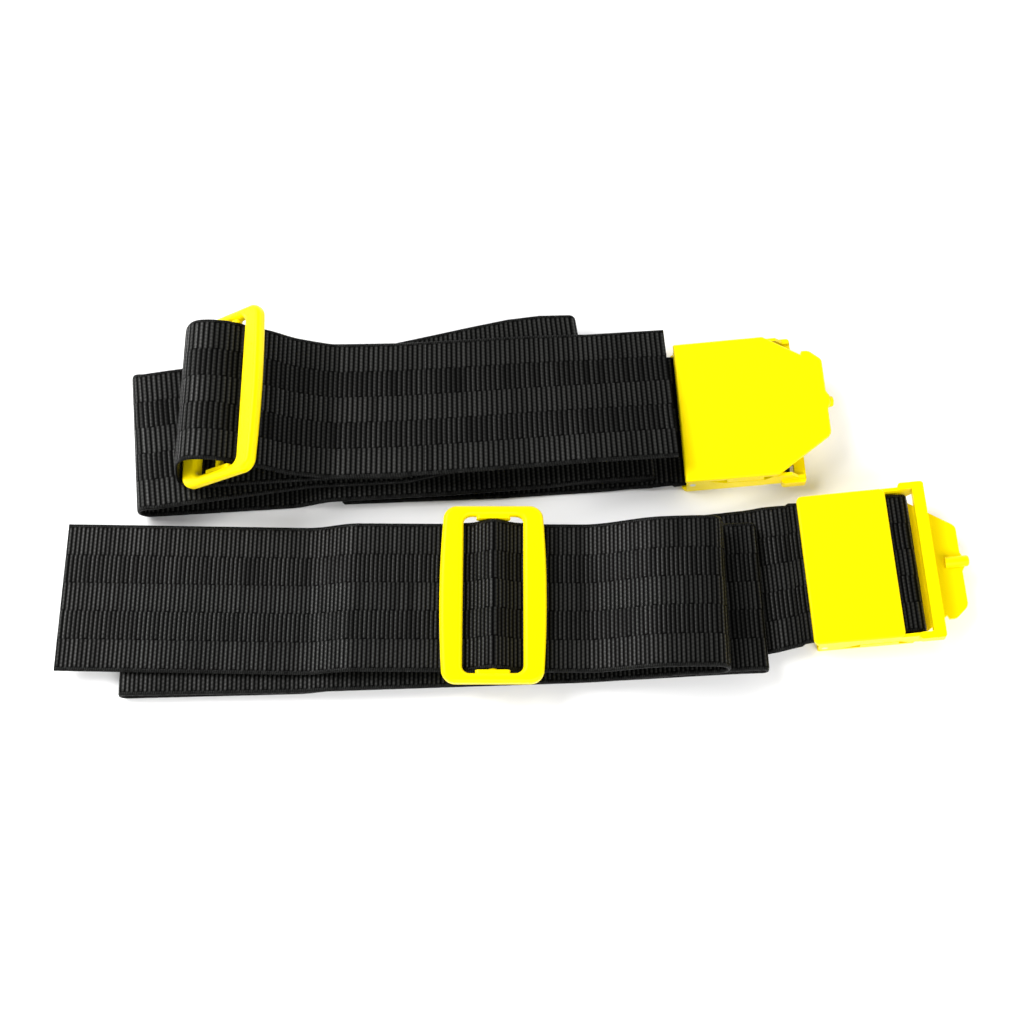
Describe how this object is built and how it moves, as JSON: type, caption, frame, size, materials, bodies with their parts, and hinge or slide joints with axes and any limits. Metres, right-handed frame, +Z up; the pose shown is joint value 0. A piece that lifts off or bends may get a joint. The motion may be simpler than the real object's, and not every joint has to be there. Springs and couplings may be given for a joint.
{
  "type": "dive weight belt",
  "caption": "Folded black webbing dive weight belts, each with a yellow plastic lever buckle at one end and a sliding yellow keeper, lying flat as a pair.",
  "frame": {"origin": "middle of the underside of the pair's bounding box, on the table", "axes": "+X along the belts towards the buckles, +Y from belt B to belt A, +Z up from the table"},
  "size_m": [0.2931, 0.1317, 0.0355],
  "materials": {
    "webbing": "ribbed woven, slight sheen",
    "thread": "twisted thread",
    "buckle_plastic": "semi-gloss moulded",
    "keeper_plastic": "semi-gloss moulded",
    "pin_steel": "satin"
  },
  "bodies": {
    "belt_b_strap": {"belt_b_folded_strap": "webbing"},
    "belt_b_tail": {"belt_b_tail": "webbing"},
    "belt_b_keeper": {"belt_b_keeper": "keeper_plastic", "belt_b_keeper_webbing": "webbing"},
    "belt_b_buckle": {"belt_b_buckle_frame": "buckle_plastic", "belt_b_hinge_pin": "pin_steel", "belt_b_strap_bar": "pin_steel", "belt_b_sewn_end": "webbing", "belt_b_stitching": "thread"},
    "belt_b_lever": {"belt_b_buckle_lever": "buckle_plastic"},
    "belt_a_strap": {"belt_a_folded_strap": "webbing", "belt_a_top_layer": "webbing"},
    "belt_a_tail": {"belt_a_tail": "webbing"},
    "belt_a_keeper": {"belt_a_keeper": "keeper_plastic", "belt_a_keeper_webbing": "webbing"},
    "belt_a_buckle": {"belt_a_buckle_frame": "buckle_plastic", "belt_a_hinge_pin": "pin_steel", "belt_a_strap_bar": "pin_steel", "belt_a_sewn_end": "webbing", "belt_a_stitching": "thread"},
    "belt_a_lever": {"belt_a_buckle_lever": "buckle_plastic"}
  },
  "joints": [
    {"name": "belts_apart", "type": "slide", "parent": "belt_b_strap", "child": "belt_a_strap", "axis": [0, 1, 0], "range_m": [0, 0.15]},
    {"name": "belt_a_tail_lift", "type": "hinge", "parent": "belt_a_strap", "child": "belt_a_tail", "pos_m": [0.00545, 0.0323, 0.01435], "axis": [0.0611, -0.9981, 0], "range_deg": [0, 30]},
    {"name": "belt_a_keeper_rock", "type": "hinge", "parent": "belt_a_strap", "child": "belt_a_keeper", "pos_m": [-0.10665, 0.02915, 0.015], "axis": [0, -1, 0], "range_deg": [-5, 10]},
    {"name": "belt_a_buckle_flex", "type": "hinge", "parent": "belt_a_strap", "child": "belt_a_buckle", "pos_m": [0.05217, 0.0298, 0.00256], "axis": [0.0523, -0.9986, 0], "range_deg": [0, 8]},
    {"name": "belt_a_lever", "type": "hinge", "parent": "belt_a_buckle", "child": "belt_a_lever", "pos_m": [0.0578, 0.03009, 0.00632], "axis": [0.0523, -0.9986, 0], "range_deg": [0, 85]},
    {"name": "belt_b_tail_lift", "type": "hinge", "parent": "belt_b_strap", "child": "belt_b_tail", "pos_m": [-0.06635, -0.035, 0.0072], "axis": [0, 1, 0], "range_deg": [0, 45]},
    {"name": "belt_b_keeper_slide", "type": "slide", "parent": "belt_b_strap", "child": "belt_b_keeper", "axis": [1, 0, 0], "range_m": [-0.018, 0.008]},
    {"name": "belt_b_buckle_flex", "type": "hinge", "parent": "belt_b_strap", "child": "belt_b_buckle", "pos_m": [0.09158, -0.02547, 0.00672], "axis": [0.0558, -0.9984, 0], "range_deg": [0, 40]},
    {"name": "belt_b_lever", "type": "hinge", "parent": "belt_b_buckle", "child": "belt_b_lever", "pos_m": [0.09795, -0.02511, 0.00443], "axis": [-0.0558, 0.9984, 0], "range_deg": [0, 85]}
  ]
}
